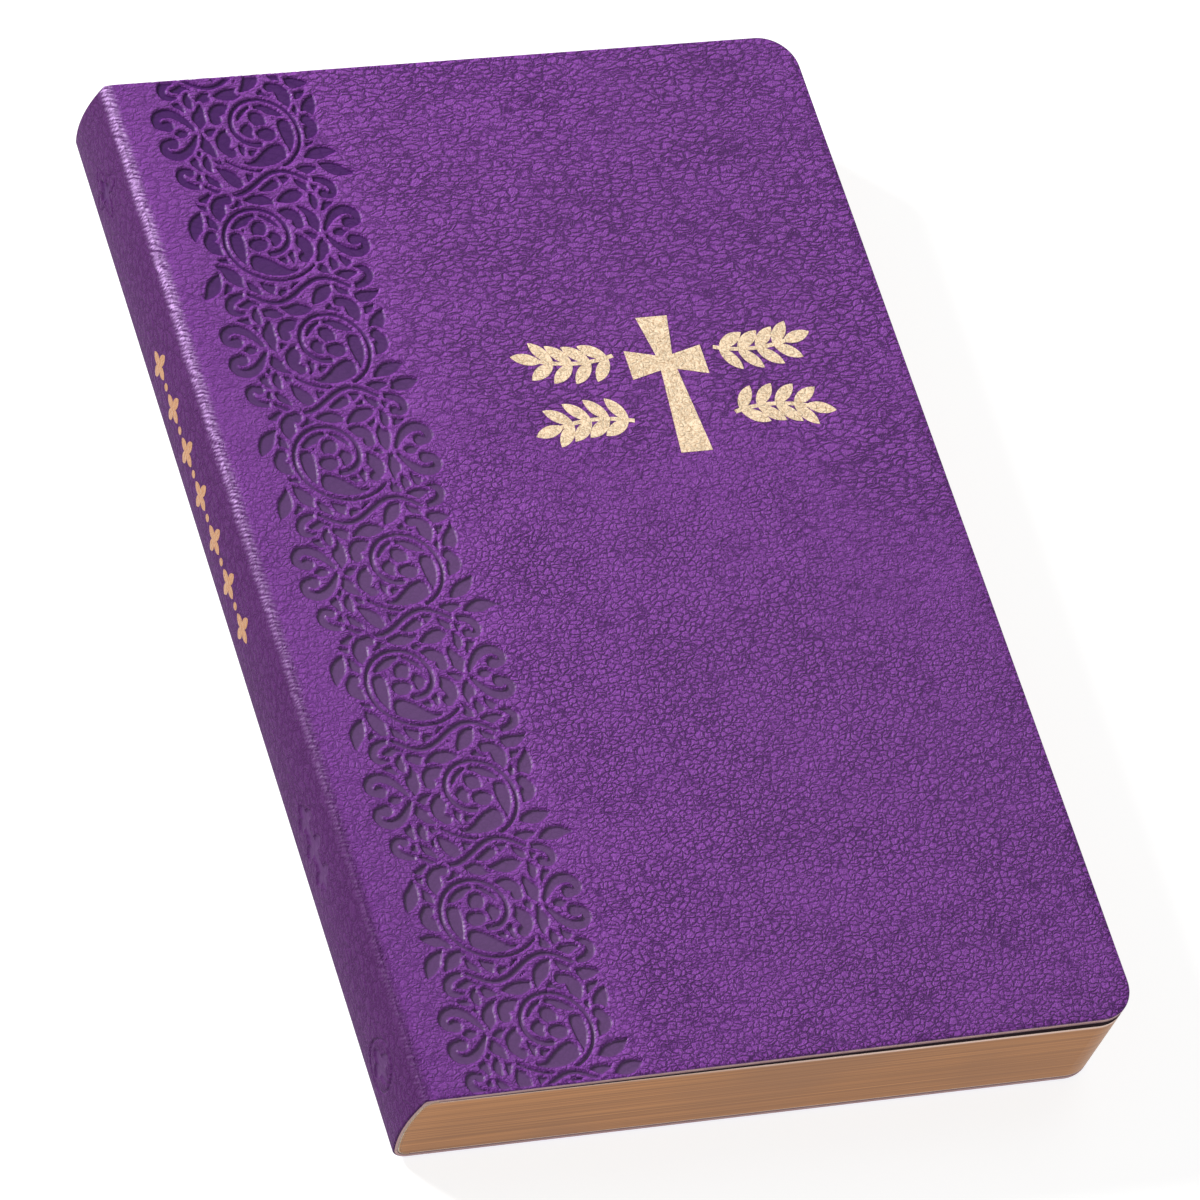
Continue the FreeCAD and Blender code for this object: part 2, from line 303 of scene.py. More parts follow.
def spine_stations(step):
    """Angles and centres round the spine, front to back, as (x, z, normal x, normal z)."""
    shoulder_x = fold.x
    shoulder_z = middle_z - shoulder_radius
    round_x = spine_back + round_radius
    meet = math.atan2(shoulder_z, shoulder_x - round_x)
    stations = []

    def arc(centre_x, centre_z, radius, start, end):
        breaks = []
        for z in section_middles:
            swing = (z - centre_z) / radius
            if abs(swing) < 1:
                angle = math.pi - math.asin(swing)
                if min(start, end) + 1e-4 < angle < max(start, end) - 1e-4:
                    breaks.append(angle)
        stops = [start] + sorted(breaks, reverse=end < start) + [end]
        for a, b in zip(stops, stops[1:]):
            count = max(1, round(abs(b - a) * radius / min(step, 0.06 * radius)))
            for i in range(count):
                angle = a + (b - a) * i / count
                stations.append((centre_x, centre_z, radius, angle))

    arc(shoulder_x, middle_z + shoulder_z, shoulder_radius, math.pi / 2, meet)
    arc(round_x, middle_z, round_radius, meet, 2 * math.pi - meet)
    arc(shoulder_x, middle_z - shoulder_z, shoulder_radius, 2 * math.pi - meet, 1.5 * math.pi)
    stations.append((shoulder_x, middle_z - shoulder_z, shoulder_radius, 1.5 * math.pi))
    return stations


def placed(name, data):
    """A new object with this data, in the scene at the origin."""
    made = bpy.data.objects.new(name, data)
    bpy.context.scene.collection.objects.link(made)
    return made


def closed_mesh(name, points, faces, kinds, materials, sharp_deg=35):
    """A smooth mesh object; kinds gives the material slot of each face."""
    mesh = bpy.data.meshes.new(name)
    mesh.from_pydata([tuple(p) for p in points], [], faces)
    for material in materials:
        mesh.materials.append(material)
    mesh.polygons.foreach_set("material_index", kinds)
    mesh.shade_smooth()
    mesh.set_sharp_from_angle(angle=math.radians(sharp_deg))
    return placed(name, mesh)


def mark(piece, name, values):
    layer = piece.data.attributes.new(name, "FLOAT", "POINT")
    layer.data.foreach_set("value", np.asarray(values, np.float32))


soft_edge = 0.3                 # mm, how far the worn edge of a cut sheet is rounded


def edge_drop(inside):
    """How far a sheet's face lies below its plane, this far in from its cut edge, in mm."""
    gap = np.clip(soft_edge - inside, 0, soft_edge)
    return soft_edge - np.sqrt(soft_edge ** 2 - gap ** 2)


def bent_sheet(outer, inner, run_on, step, row_step, dress=None):
    """The two faces of a sheet bent round the spine, between two depths from the outside.
    dress(y, round) gives the height and the two marks of its outer face, all in mm."""
    path = [(centre_x, centre_z, radius, math.cos(angle), math.sin(angle))
            for centre_x, centre_z, radius, angle in spine_stations(step)]
    flats = max(1, round(run_on / step)) if run_on else 0
    lean = math.radians(lift_deg)
    edge = soft_edge * MM
    ys = np.concatenate([
        [-half_height, -half_height + 0.1 * edge, -half_height + 0.4 * edge],
        np.linspace(-half_height + edge, half_height - edge, round(2 * half_height / row_step)),
        [half_height - 0.4 * edge, half_height - 0.1 * edge, half_height]])

    def profile(depth):
        """Points and outward directions, from the front board round to the back one."""
        line = []
        for i in range(flats):
            reach = run_on * (flats - i) / flats
            line.append((fold.x + reach * math.cos(lean) + depth * math.sin(lean),
                         fold.z + reach * math.sin(lean) - depth * math.cos(lean),
                         -math.sin(lean), math.cos(lean)))
        for centre_x, centre_z, radius, c, s in path:
            line.append((centre_x + (radius - depth) * c, centre_z + (radius - depth) * s, c, s))
        for i in range(flats):
            line.append((fold.x + run_on * (i + 1) / flats, depth, 0.0, -1.0))
        return np.array(line)

    out, under = profile(outer), profile(inner)
    gaps = np.hypot(np.diff(out[:, 0]), np.diff(out[:, 1]))
    around = np.concatenate([[0], np.cumsum(gaps)]) / MM
    around = np.interp(0, middle_z - out[:, 1], around) - around
    height = np.zeros((len(ys), len(out)))
    marks = (height, height)
    if dress is not None:
        height, *marks = dress(ys[:, None] / MM, around[None, :])
    height = height - edge_drop((half_height - np.abs(ys)) / MM)[:, None]
    face = np.empty((len(ys), len(out), 3))
    face[:, :, 0] = out[None, :, 0] + height * MM * out[None, :, 2]
    face[:, :, 1] = ys[:, None]
    face[:, :, 2] = out[None, :, 1] + height * MM * out[None, :, 3]
    hidden = np.array([[(x, y, z) for x, z, _, _ in under] for y in (ys[0], ys[-1])])
    return face, hidden, marks


def strips_on_sections(name, sheet, materials, replaced):
    """Cuts a bent sheet into strips at the middle of each section."""
    face, hidden, marks = sheet
    rows, columns, _ = face.shape
    heights = face[rows // 2, :, 2]
    round_part = face[rows // 2, :, 0] < fold.x
    cuts = [0]
    for z in section_middles:
        cuts.append(int(np.argmin(np.where(round_part, np.abs(heights - z), 9))))
    cuts.append(columns - 1)
    bodies = ["front_cover"] + ["section_{:02d}".format(n) for n in range(1, SECTIONS + 1)]
    bodies.append("back_cover")
    for k, (first, last) in enumerate(zip(cuts, cuts[1:])):
        count = last - first + 1
        points = np.vstack([face[:, first:last + 1].reshape(-1, 3),
                            hidden[:, first:last + 1].reshape(-1, 3)])
        base = rows * count
        top = base - count
        faces = [(r * count + c, (r + 1) * count + c, (r + 1) * count + c + 1, r * count + c + 1)
                 for r in range(rows - 1) for c in range(count - 1)]
        kinds = [0] * len(faces)
        for c in range(count - 1):
            low, high = base + c, base + count + c
            faces += [(low, low + 1, high + 1, high), (c, c + 1, low + 1, low),
                      (top + c, high, high + 1, top + c + 1)]
        rim = [r * count for r in range(rows)]
        faces.append((base, base + count, *rim[::-1]))
        faces.append((*[r + count - 1 for r in rim], base + 2 * count - 1, base + count - 1))
        kinds += [1] * (len(faces) - len(kinds))
        strip = closed_mesh("{}_{:02d}".format(name, k + 1), points, faces, kinds, materials)
        for title, values in zip(("pressed", "rubbed"), marks):
            shown = values[:, first:last + 1].reshape(-1)
            mark(strip, title, np.concatenate([shown, np.zeros(len(points) - base)]))
        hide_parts(*replaced)
        if k == 0 and name == "spine_lining":
            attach(strip, bodies[1])
        elif k == 0:
            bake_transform(strip)
        else:
            low = section_middles[k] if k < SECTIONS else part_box("section_16")[0].z
            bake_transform(strip)


glue, _, glue_shader, glue_mm = finish("spine_lining", 0.55)
weave = noise(glue_mm, 1.0, 1.0, (0.5, 2.2, 2.2))
glue_tone = weave.stops((0.35, (0.36, 0.27, 0.18)), (0.65, (0.62, 0.54, 0.42)))
feed(glue_shader, Base_Color=glue_tone, Normal=relief(weave, 0.08))
lining = bent_sheet(sheet_thickness, sheet_thickness + lining_depth, 0, 0.5 * MM, 3.0 * MM)
strips_on_sections("spine_lining", lining, [glue, leaf_lines],
                   ["spine_paper_lining", "spine_mull", "spine_glue"])

# ---------------------------------------------------------------------------------------------
# Leather cover.  One thin sheet of soft bonded leather, embossed with a fine pebble grain and
# cut flush with the block.  It wraps the block from board to board round the convex spine.

grain_leather, skin_start, skin_shader, skin_mm = finish("purple_grain_leather", 0.42,
                                                         Specular_IOR_Level=0.10,
                                                         Coat_Roughness=0.38)


def mark_wire(wire, name):
    return wire.node("ShaderNodeAttribute", {"attribute_name": name}, output=2)


pressed_in = mark_wire(skin_start, "pressed")
rubbed = mark_wire(skin_start, "rubbed")
skin_x = skin_mm.axis(0)
skin_y = skin_mm.axis(1)
on_spine = skin_x.ramp(-67.2, -64.6, 1.0, 0.0)


def wander(place, amount, scale):
    """The place moved about by noise, so that the grain's cells lose their even shape."""
    shift = noise(place, scale, 2.0, output=1)
    shift = shift.vector("SUBTRACT", shift, (0.5, 0.5, 0.5))
    return place.vector("ADD", place, shift.vector("MULTIPLY", shift, (amount,) * 3))


def cells(place, size, stretch=(1.0, 1.0, 1.0), turn=0.0):
    """Distance from the creases between leather cells of this size, in cells."""
    turned = place.node("ShaderNodeMapping", {}, {
        "Vector": place, "Rotation": (0.0, 0.0, turn),
        "Scale": tuple(s / size for s in stretch)})
    return place.node("ShaderNodeTexVoronoi", {"feature": "DISTANCE_TO_EDGE"},
                      {"Vector": turned, "Scale": 1.0, "Randomness": 1.0})


loose = wander(skin_mm, 1.5, 0.55)
pebbles = cells(loose, 1.15, (0.8, 1.15, 0.8))
fine_pebbles = cells(loose, 0.62, (1.0, 1.0, 1.0), 0.6)
waves = cells(wander(skin_mm, 2.2, 0.35), 1.25, (0.5, 1.25, 0.6), 0.12)
drawn = cells(loose, 1.3, (1.0, 0.45, 1.0))
head_side = (skin_y + noise(skin_mm, 0.02, 2.0) * 90.0 + skin_x * 0.35).ramp(35.0, 85.0)
board_height = pebbles.ramp(0.0, 0.26) * (1 - head_side) + waves.ramp(0.0, 0.26) * head_side
fine_height = fine_pebbles.ramp(0.0, 0.35)
large = board_height * (1 - on_spine) + drawn.ramp(0.02, 0.32) * on_spine

# The grain lies flatter beside the spine, and under the heat of the press.
strength = noise(skin_mm, 0.06, 3.0).ramp(0.30, 0.70, 0.72, 1.0)
calm = skin_x.ramp(-36.0, -16.0, 0.62, 1.0) * (1 - on_spine) + on_spine * 0.8
strength = strength * calm
grain = 1 - (1 - large) * strength
pores = noise(skin_mm, 5.0, 2.0)
grain_height = grain * 0.60 + (1 - (1 - fine_height) * calm) * 0.26 + pores * 0.14
flat_share = pressed_in.ramp(0.2, 0.9, 0.0, 0.88)
skin_height = grain_height * (1 - flat_share) + flat_share * 0.6
crease_board = pebbles.ramp(0.0, 0.13) * (1 - head_side) + waves.ramp(0.0, 0.14) * head_side
crease = 1 - (1 - crease_board * (1 - on_spine) - drawn.ramp(0.0, 0.12) * on_spine) * strength
long_creases = cells(wander(skin_mm, 3.0, 0.22), 3.1, (0.42, 1.3, 1.0), 0.16).ramp(0.0, 0.055)
long_share = noise(skin_mm, 0.09, 2.0).ramp(0.42, 0.58) * (1 - on_spine) * calm
crease = crease * (1 - (1 - long_creases) * long_share * 0.9)
skin_height = skin_height * (1 - (1 - long_creases) * long_share * (1 - flat_share) * 0.4)
skin_shade = crease * 0.50 + fine_pebbles.ramp(0.0, 0.14) * 0.20 + grain_height * 0.30

violet = skin_shade.stops((0.24, (0.060, 0.006, 0.102)), (0.62, (0.160, 0.029, 0.248)),
                          (0.92, (0.236, 0.056, 0.348)))
patches = noise(skin_mm, 0.022, 2.0).ramp(0.35, 0.68)
violet = violet.tint(coloured(violet, (0.135, 0.034, 0.195)), patches * 0.12)
by_spine = skin_x.ramp(-52.0, -30.0, 0.30, 0.0)
violet = violet.tint(coloured(violet, (0.088, 0.014, 0.140)), by_spine)
# On the spine the same leather is made darker and redder: partly its own deeper tone, partly painted
# shade.
spine_tone_and_shade = violet.tint(coloured(violet, (0.032, 0.004, 0.039)), on_spine * 0.78)
# The recess floors are darkened by the hot press, and are darker at the head and lighter, greyer at the
# tail: painted reflection of light on their smooth faces.
tail_share = (skin_y + noise(skin_mm, 0.03, 2.0) * 60.0).ramp(110.0, 20.0)
floor_at_head = coloured(violet, (0.036, 0.007, 0.074))
floor_tone_and_sheen = floor_at_head.tint(coloured(violet, (0.088, 0.036, 0.122)), tail_share)
scorch = pressed_in.ramp(0.25, 0.95, 0.0, 0.86) * (1 - on_spine * 0.7)
scorched_and_sheen = spine_tone_and_shade.tint(floor_tone_and_sheen, scorch)
# Pale wear and painted highlight on the spine ridge's rib crests.
hairs = noise(skin_mm, 1.0, 2.0, (0.9, 3.4, 0.9)).ramp(0.36, 0.60, 0.35, 1.0)
skin_colour_and_painted_light = scorched_and_sheen.tint(coloured(violet, (0.50, 0.30, 0.62)),
                          rubbed.ramp(0.0, 0.9, 0.0, 0.95) * hairs)
dull_floor = pressed_in.ramp(0.2, 0.9) * (1 - tail_share) * 0.75
feed(skin_shader,
     Base_Color=skin_colour_and_painted_light,
     Roughness=pressed_in.ramp(0.2, 0.9, 0.44, 0.32) + (1 - grain_height) * 0.12 + on_spine * 0.12,
     Coat_Weight=(1 - on_spine) * 0.40 * (1 - dull_floor),
     Normal=relief(skin_height, 0.34, 1.0))

cut_edge, _, cut_shader, cut_mm = finish("leather_cut_edge", 0.8)
layers = noise(cut_mm, 1.0, 2.0, (0.4, 0.4, 9.0))
cut_tone = layers.stops((0.3, (0.33, 0.17, 0.19)), (0.65, (0.62, 0.42, 0.38)))
feed(cut_shader, Base_Color=cut_tone, Normal=relief(layers, 0.05))

# The scrollwork band: strokes pressed into the front, each a row of (x, y, half width) in mm,
# x across from the band's middle and y from the tail.
band_height = 2 * half_height / MM
band_cells = 9
band_middle = -43.3
band_reach = 19.0
stroke_growth = 0.18            # mm, added to every half width
wall = 0.24                     # mm, how wide the slope of a recess is
depth = 0.42                    # mm
TURN = 2 * math.pi


def tapered(t, widths, knee):
    start, middle, tip = widths
    return np.where(t < knee, start + (middle - start) * np.sin(np.clip(t / knee, 0, 1) * np.pi / 2),
                    middle + (tip - middle) * (np.clip(t - knee, 0, 1) / (1 - knee)) ** 1.2)


def ended(x, y, width, bud):
    stroke = np.stack([x, y, width], 1)
    return np.vstack([stroke, [x[-1], y[-1], bud]]) if bud else stroke


def spiral(centre, start_radius, end_radius, angle, turns, way, widths):
    """A stroke wound in from one radius to another."""
    t = np.linspace(0, 1, int(turns * TURN * (start_radius + end_radius) / 0.3))
    radius = start_radius + (end_radius - start_radius) * t ** 0.9
    a = angle + way * TURN * turns * t
    return ended(centre[0] + radius * np.cos(a), centre[1] + radius * np.sin(a),
                 tapered(t, widths, 0.7), 0)


def ring_leaf(centre, radius, angle, span, way, lift, width, head=0.68):
    """A leaf that follows a ring from an angle, leaves it by lift, and is fattest at its head."""
    t = np.linspace(0, 1, max(14, int((abs(span) * max(radius, 1) + abs(lift)) / 0.15)))
    a = angle + way * span * t
    r = radius + lift * t ** 1.4
    swell = 0.16 + (width - 0.16) * np.sin(np.clip(t / head, 0, 1) * np.pi / 2) ** 1.5
    past = np.clip((t - head) / (1 - head), 0, 1)
    tip = width * (np.sqrt(1 - past ** 2) * 0.75 + 0.25 * (1 - past))
    return ended(centre[0] + r * np.cos(a), centre[1] + r * np.sin(a),
                 np.maximum(np.where(t < head, swell, tip), 0.08), 0)


def curl(x, y, heading, length, bend, widths, bud=0.0):
    """A stroke that starts nearly straight and curls up; bend is its curvature at both ends."""
    count = max(12, int(length / 0.13))
    t = np.linspace(0, 1, count)
    a = heading + np.cumsum(bend[0] + (bend[1] - bend[0]) * t ** 1.6) * length / count
    return ended(x + np.cumsum(np.cos(a)) * length / count, y + np.cumsum(np.sin(a)) * length / count,
                 tapered(t, widths, 0.5), bud)


def medallion(centre, radius, angle, way):
    """A ring that winds in to a three-leaved heart, with leaves inside and out."""
    turns = 1.12
    heart = radius * 0.34
    k = radius / 9.4
    strokes = [spiral(centre, radius, heart, angle, turns, way, (0.22, 0.34, 0.50 * k))]

    def ring_at(turn):
        return radius + (heart - radius) * (min(turn, turns) / turns) ** 0.9

    for i in range(3):
        strokes.append(ring_leaf(centre, radius * 0.07, angle + way * TURN * (turns + i / 3), 1.3, way,
                                 radius * 0.21, 1.3 * k, 0.75))
    for i in range(5):
        turn = (i + 0.3) / 5 * 0.85
        outer, inner = ring_at(turn), radius * 0.3
        gap, middle = outer - inner, (outer + inner) / 2
        a = angle + way * TURN * turn
        strokes.append(ring_leaf(centre, outer - gap * 0.20, a, 6.8 * k / middle, way, -gap * 0.50,
                                 min(2.1 * k, gap * 0.33), 0.66))
        strokes.append(ring_leaf(centre, inner + gap * 0.2, a + way * 0.5, 2.6 * k / middle, -way,
                                 gap * 0.24, gap * 0.14, 0.7))
    for i in range(7):
        a = angle + way * TURN * (i + 0.45) / 7 * 0.95
        r = ring_at((i + 0.45) / 7 * 0.95) + 0.35
        side = -way if i % 3 == 1 else way
        strokes.append(curl(centre[0] + r * math.cos(a), centre[1] + r * math.sin(a),
                            a + side * (math.pi / 2 - 0.62), (6.0, 4.4, 5.2)[i % 3] * k,
                            (-side * 0.05 / k, side * (0.95, 0.5, 1.2)[i % 3] / k),
                            (0.2, (1.25, 1.0, 1.15)[i % 3] * k, 0.5 * k), (0.95, 0.0, 1.0)[i % 3] * k))
    return strokes


def vine(side, y):
    """The S-shaped stem between two medallions, with leaf sprays and curled ends."""
    t = np.linspace(0, 1, 200)
    x = side * (19.5 * t - 9.0)
    y = y + 2.2 * np.sin(TURN * (t - 0.5)) * side
    strokes = [ended(x, y, 0.3 + 0.12 * np.sin(np.pi * t), 0)]
    for share, turn, length, bend, width in ((0.12, 1, 4.6, 0.7, 1.0), (0.12, -1, 4.2, 0.6, 0.9),
                                             (0.86, 1, 4.8, 0.8, 1.05), (0.86, -1, 4.4, 0.7, 0.95)):
        i = int(share * 199)
        heading = math.atan2(y[i + 1] - y[i], x[i + 1] - x[i]) + (math.pi if share < 0.5 else 0)
        strokes.append(curl(x[i], y[i], heading + turn * 0.75, length, (0.0, -turn * bend * 0.2),
                            (0.2, width, 0.3)))
    for i, heading in ((199, 0 if side > 0 else math.pi), (0, math.pi if side > 0 else 0)):
        strokes.append(curl(x[i], y[i], heading, 8.5, (side * 0.08, side * 1.15), (0.3, 0.8, 0.5), 0.9))
    return strokes


def scrollwork():
    strokes = []
    cell = band_height / band_cells
    for j in range(-1, band_cells + 1):
        y = (j + 0.5) * cell
        side = 1 if j % 2 == 0 else -1
        strokes += medallion((side * 2.7, y), 10.2, math.radians(-90 - side * 50), side)
        for up in (-1, 1):
            strokes.append(curl(-side * 9.2, y + up * 0.6, math.pi / 2 * up + side * up * 0.55, 12.4,
                                (side * up * 0.02, side * up * 0.98), (0.3, 0.95, 0.6), 1.2))
            strokes.append(curl(-side * 10.4, y + up * 2.2, math.pi / 2 * up + side * up * 1.1, 4.6,
                                (0.0, -side * up * 0.55), (0.25, 1.0, 0.25)))
            strokes.append(curl(-side * 8.6, y + up * 5.2, math.pi / 2 * up + side * up * 0.2, 3.4,
                                (0.0, -side * up * 0.6), (0.2, 0.8, 0.2)))
        outward = 0 if side > 0 else math.pi
        strokes.append(ring_leaf((-side * 14.6, y), 1.2, outward, 0.01, 1, 2.6, 0.85))
        strokes += vine(side, y + cell / 2)
    return strokes


class Field:
    """A height sampled on an even grid, read back anywhere between."""

    def __init__(self, low, high, step, value):
        self.low = np.array(low)
        self.step = step
        self.shape = tuple(int((h - l) / step) + 2 for l, h in zip(low, high))
        self.grid = np.full(self.shape, value)

    def axis(self, k):
        return self.low[k] + self.step * np.arange(self.shape[k])

    def patch(self, x, y, reach):
        """The slices of the grid within reach of a point, and the grid's places there."""
        spans = []
        for k, at in enumerate((x, y)):
            first = max(0, int((at - reach - self.low[k]) / self.step))
            last = min(self.shape[k], int((at + reach - self.low[k]) / self.step) + 2)
            spans.append(slice(first, max(first, last)))
        return tuple(spans), self.axis(0)[spans[0], None], self.axis(1)[None, spans[1]]

    def read(self, x, y, grid=None):
        grid = self.grid if grid is None else grid
        u = np.clip((x - self.low[0]) / self.step, 0, self.shape[0] - 1.001)
        v = np.clip((y - self.low[1]) / self.step, 0, self.shape[1] - 1.001)
        i, j = u.astype(int), v.astype(int)
        u, v = u - i, v - j
        return ((grid[i, j] * (1 - u) + grid[i + 1, j] * u) * (1 - v)
                + (grid[i, j + 1] * (1 - u) + grid[i + 1, j + 1] * u) * v)


# Distance outside the strokes, negative inside, over the whole band.  A later stroke stops a
# little short of the ones before it, which leaves a thin raised line between them.
raised_line = 0.42
band = Field((-band_reach, 0.0), (band_reach, band_height), 0.14, 3.0)


def press(stroke, fatter=0.0):
    reach = 2.4
    low, high = stroke[:, :2].min(0) - reach, stroke[:, :2].max(0) + reach
    spot, xs, ys = band.patch(*(low + high) / 2, np.abs(high - low).max() / 2)
    if not band.grid[spot].size:
        return
    away = np.full(band.grid[spot].shape, 9.0)
    for x, y, width in stroke:
        np.minimum(away, np.hypot(xs - x, ys - y) - width - fatter, out=away)
    kept = np.maximum(away, raised_line - band.grid[spot])
    band.grid[spot] = np.minimum(band.grid[spot], kept)


for stroke in scrollwork():
    press(stroke, stroke_growth)

# Small leaves fill what is left between the scrolls, each turned along its gap.
across = np.abs(band.axis(0))[:, None]
ragged = 13.6 + 1.3 * np.sin(band.axis(1) * TURN * band_cells / band_height * 2.0)[None, :]
least_room, most_leaves = 0.88, 420
for k in range(most_leaves):
    room_left = np.where(across < ragged, band.grid, -1.0)
    i, j = np.unravel_index(int(np.argmax(room_left)), room_left.shape)
    room_here = room_left[i, j]
    if room_here < least_room:
        break
    x, y = band.axis(0)[i], band.axis(1)[j]
    headings = np.linspace(0, math.pi, 12, endpoint=False)
    reach = room_here * 1.5
    open_ways = [band.read(np.array([x + w * reach * math.cos(h) for w in (-1, 1)]),
                           np.array([y + w * reach * math.sin(h) for w in (-1, 1)])).sum()
                 for h in headings]
    heading = headings[int(np.argmax(open_ways))] + (math.pi if k % 2 else 0)
    length = min(7.2, room_here * 3.8)
    press(curl(x - length * 0.45 * math.cos(heading), y - length * 0.45 * math.sin(heading), heading,
               length, (0.0, (0.5 if k % 3 else -0.6) / room_here),
               (0.12, min(1.5, room_here * 0.74), 0.16)))
slope_x, slope_y = np.gradient(band.grid, band.step)

# The leather is pressed in a little round the foil emblem, wherever its solid lies.
emblem = frame["nodes"]["front_emblem_foil"].data
emblem_low, emblem_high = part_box("front_emblem_foil")
foil_rim = 1.5                  # mm, how far round the emblem the leather is looked at
near_foil = Field((emblem_low.x / MM - foil_rim, emblem_low.y / MM - foil_rim),
                  (emblem_high.x / MM + foil_rim, emblem_high.y / MM + foil_rim), 0.12, 9.0)
under_foil = np.zeros(near_foil.shape, bool)
for face in emblem.polygons:
    if face.normal.z < 0.9:
        continue
    corners = np.array([emblem.vertices[v].co[:2] for v in face.vertices[:3]]) / MM
    middle = corners.mean(0)
    spot, xs, ys = near_foil.patch(*middle, np.abs(corners - middle).max() + 0.15)
    sides = [(b[0] - a[0]) * (ys - a[1]) - (b[1] - a[1]) * (xs - a[0])
             for a, b in zip(corners, np.roll(corners, -1, 0))]
    under_foil[spot] |= np.minimum.reduce(sides) > -1e-3
for i in range(-6, 7):
    for j in range(-6, 7):
        away = math.hypot(i, j) * near_foil.step
        shifted = np.roll(under_foil, (i, j), (0, 1))
        near_foil.grid = np.where(shifted, np.minimum(near_foil.grid, away), near_foil.grid)

fore_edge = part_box("back_cover")[1].x / MM
tail_y = half_height / MM


def inside_edge(x, y):
    """How far a point of a board lies in from its cut edge, in mm."""
    gap_x, gap_y = fore_edge - x, tail_y - np.abs(y)
    corner = corner_radius - np.hypot(corner_radius - gap_x, corner_radius - gap_y)
    return np.where((gap_x < corner_radius) & (gap_y < corner_radius), corner, np.minimum(gap_x, gap_y))


def board_outline(inset, spacing):
    """Points round a board, this far in from its cut edges, starting at the tail by the spine."""
    left = (fold.x + lap) / MM
    right, top, radius = fore_edge - inset, tail_y - inset, corner_radius - inset

    def run(a, b):
        count = max(1, round(math.dist(a, b) / spacing))
        return [(a[0] + (b[0] - a[0]) * i / count, a[1] + (b[1] - a[1]) * i / count)
                for i in range(count)]

    def corner(y, start):
        count = 22
        return [(right - radius + radius * math.cos(start + math.pi / 2 * i / count),
                 y + radius * math.sin(start + math.pi / 2 * i / count)) for i in range(count)]

    return (run((left, -top), (right - radius, -top)) + corner(-top + radius, -math.pi / 2)
            + run((right, -top + radius), (right, top - radius)) + corner(top - radius, 0.0)
            + run((right - radius, top), (left, top)) + run((left, top), (left, -top)))


def board(name, dress, fill, is_front):
    """A flat board of leather: its face dressed with heights and marks, its cut edge, its back."""
    rim = board_outline(0.0, 0.8)
    points = list(rim)
    for inset in (0.1 * soft_edge, 0.4 * soft_edge, soft_edge):
        points += [p for p in board_outline(inset, 0.8) if p[0] > (fold.x + lap) / MM + 0.01]
    points += [tuple(p) for p in fill]
    edges = [(i, (i + 1) % len(rim)) for i in range(len(rim))]
    places, _, faces, origins, *_ = delaunay_2d_cdt([Vector(p) for p in points], edges, [], 0, 1e-5)
    flat = np.array([(p.x, p.y) for p in places])
    found = {source: i for i, sources in enumerate(origins) for source in sources}
    top_rim = [found[i] for i in range(len(rim))]
    height, *marks = dress(flat[:, 0], flat[:, 1])
    height = height - edge_drop(np.maximum(inside_edge(flat[:, 0], flat[:, 1]), 0))
    sheet = sheet_thickness / MM
    base = len(flat)
    back = np.column_stack([flat[top_rim], np.full(len(rim), -sheet)])
    middle = [(flat[:, 0].mean(), 0.0, -sheet)]
    solid = np.vstack([np.column_stack([flat, height]), back, middle])
    faces = [tuple(f) for f in faces]
    first = solid[list(faces[0])]
    if np.cross(first[1] - first[0], first[2] - first[0])[2] < 0:
        faces = [f[::-1] for f in faces]
    kinds = [0] * len(faces)
    count = len(rim)
    for i in range(count):
        k = (i + 1) % count
        faces.append((top_rim[i], base + i, base + k, top_rim[k]))
        faces.append((base + i, base + count, base + k))
    kinds += [1] * (2 * count)
    lean = math.radians(lift_deg) if is_front else 0.0
    reach = solid[:, 0] * MM - fold.x
    up = solid[:, 2] * MM
    x = fold.x + reach * math.cos(lean) - up * math.sin(lean)
    z = reach * math.sin(lean) + up * math.cos(lean)
    if is_front:
        z = fold.z + z
    else:
        z = -z
        faces = [f[::-1] for f in faces]
    piece = closed_mesh(name, np.column_stack([x, solid[:, 1] * MM, z]), faces, kinds,
                        [grain_leather, cut_edge], 62)
    for title, values in zip(("pressed", "rubbed"), marks):
        mark(piece, title, np.concatenate([values, np.zeros(len(solid) - base)]))
    return piece


def spread(x_range, y_range, step):
    xs, ys = np.arange(*x_range, step), np.arange(*y_range, step)
    grid = np.array(np.meshgrid(xs, ys)).reshape(2, -1).T
    grid[:, 0] += step / 2 * (np.round((grid[:, 1] - y_range[0]) / step) % 2)
    return grid


left_x = (fold.x + lap) / MM
coarse = spread((left_x + 1.5, fore_edge - 0.9), (-tail_y + 1.3, tail_y - 0.9), 2.5)
coarse = coarse[inside_edge(*coarse.T) > 1.0]

band_step = 0.29
fine = spread((max(left_x, band_middle - band_reach) + 0.5, band_middle + band_reach - 0.5),
              (-tail_y + 0.5, tail_y - 0.4), band_step)
for level in (0.0, -wall):
    along = fine - (band_middle, -tail_y)
    away = band.read(*along.T) - level
    slant = np.column_stack([band.read(*along.T, slope_x), band.read(*along.T, slope_y)])
    steep = np.maximum((slant ** 2).sum(1), 0.3)
    near = np.abs(away) < band_step * 0.45
    fine[near] -= (away / steep)[near, None] * slant[near]
clear_of_band = band.read(*(fine - (band_middle, -tail_y)).T)
even = (np.arange(len(fine)) % 2) == 0
fine = fine[(clear_of_band < 0.75) & ((clear_of_band < 0.5) | even)]
in_band = np.abs(coarse[:, 0] - band_middle) < band_reach
coarse = coarse[~in_band | (band.read(*(coarse - (band_middle, -tail_y)).T) > 1.2)]

foil_step = 0.36
stamped = spread((near_foil.low[0], emblem_high.x / MM + foil_rim),
                 (near_foil.low[1], emblem_high.y / MM + foil_rim), foil_step)
stamped = stamped[near_foil.read(*stamped.T) < 0.75]


